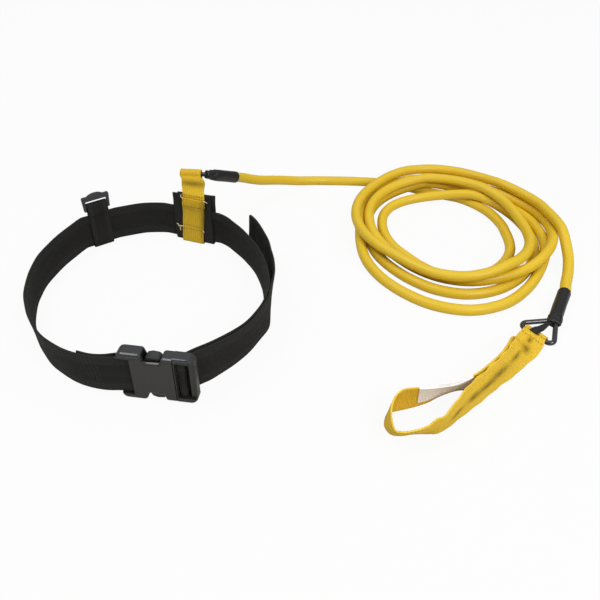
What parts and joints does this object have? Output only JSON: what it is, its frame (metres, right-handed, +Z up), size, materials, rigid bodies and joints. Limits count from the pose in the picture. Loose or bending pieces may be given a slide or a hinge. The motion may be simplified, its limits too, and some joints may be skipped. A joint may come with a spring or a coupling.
{
  "type": "swim resistance belt",
  "caption": "Webbing waist belt with side-release buckle and sliding tab, tethered by a coiled latex resistance tube to a webbing anchor loop.",
  "frame": {"origin": "middle of the footprint of the belt and straps, without the tube, on the surface they rest on", "axes": "+X right along the buckle side towards the coil, +Y away from the buckle across the waist ring, +Z up from the resting surface"},
  "size_m": [0.5486, 0.4307, 0.0712],
  "materials": {
    "black_webbing": "flat woven polypropylene webbing",
    "yellow_webbing": "flat woven webbing",
    "black_plastic": "moulded acetal, satin",
    "black_rubber": "satin shrink sleeve",
    "coated_wire": "black gloss coating on steel wire",
    "yellow_latex": "smooth dipped latex",
    "white_label_cloth": "blank woven label"
  },
  "bodies": {
    "belt": {"belt_webbing": "black_webbing", "buckle_socket": "black_plastic"},
    "insert": {"buckle_insert": "black_plastic"},
    "upper_prong": {"upper_prong": "black_plastic"},
    "lower_prong": {"lower_prong": "black_plastic"},
    "keeper": {"keeper_strap": "black_webbing"},
    "lock": {"ladder_lock": "black_plastic"},
    "slider": {"slider_inner_patch": "black_webbing", "slider_outer_patch": "black_webbing", "tab_strap": "yellow_webbing", "tube_lead": "yellow_latex", "tube_coil": "yellow_latex", "anchor_cuff": "black_rubber", "anchor_plug": "black_plastic"},
    "belt_ring": {"belt_end_ring": "coated_wire", "belt_end_cuff": "black_rubber", "belt_end_plug": "black_plastic"},
    "anchor_ring": {"anchor_ring": "coated_wire", "anchor_tongue": "black_rubber"},
    "anchor_strap": {"anchor_strap": "yellow_webbing", "strap_label": "white_label_cloth"}
  },
  "joints": [
    {"name": "buckle_release", "type": "slide", "parent": "belt", "child": "insert", "axis": [0.9877, -0.1564, 0], "range_m": [0, 0.03], "deforming": ["belt_webbing", "upper_prong", "lower_prong"]},
    {"name": "upper_prong_squeeze", "type": "hinge", "parent": "insert", "child": "upper_prong", "pos_m": [-0.10808, -0.1294, 0.036], "axis": [-0.1564, -0.9877, 0], "range_deg": [0, 21], "stiffness_Nm_per_rad": 0.3},
    {"name": "lower_prong_squeeze", "type": "hinge", "parent": "insert", "child": "lower_prong", "pos_m": [-0.10808, -0.1294, 0.014], "axis": [0.1564, 0.9877, 0], "range_deg": [0, 21], "stiffness_Nm_per_rad": 0.3},
    {"name": "keeper_slide", "type": "slide", "parent": "belt", "child": "keeper", "axis": [0.829, 0.5592, 0], "range_m": [-0.005, 0.005]},
    {"name": "ladder_lock_tilt", "type": "hinge", "parent": "keeper", "child": "lock", "pos_m": [-0.22093, 0.10348, 0.0517], "axis": [0.829, 0.5592, 0], "range_deg": [-25, 25]},
    {"name": "slider_slide", "type": "slide", "parent": "belt", "child": "slider", "axis": [0.9426, -0.3338, 0], "range_m": [-0.008, 0.004]},
    {"name": "belt_ring_swing", "type": "hinge", "parent": "slider", "child": "belt_ring", "pos_m": [-0.12103, 0.14448, 0.066], "axis": [0.9945, -0.1045, 0], "range_deg": [-50, 60], "deforming": ["tube_lead"]},
    {"name": "anchor_ring_swing", "type": "hinge", "parent": "slider", "child": "anchor_ring", "pos_m": [0.23599, -0.0373, 0.0066], "axis": [-0.6, 0.8, 0], "range_deg": [-60, 60], "deforming": ["anchor_cuff"]},
    {"name": "anchor_strap_swing", "type": "hinge", "parent": "anchor_ring", "child": "anchor_strap", "pos_m": [0.21397, -0.05382, 0.0044], "axis": [-0.6, 0.8, 0], "range_deg": [-75, 75]}
  ]
}
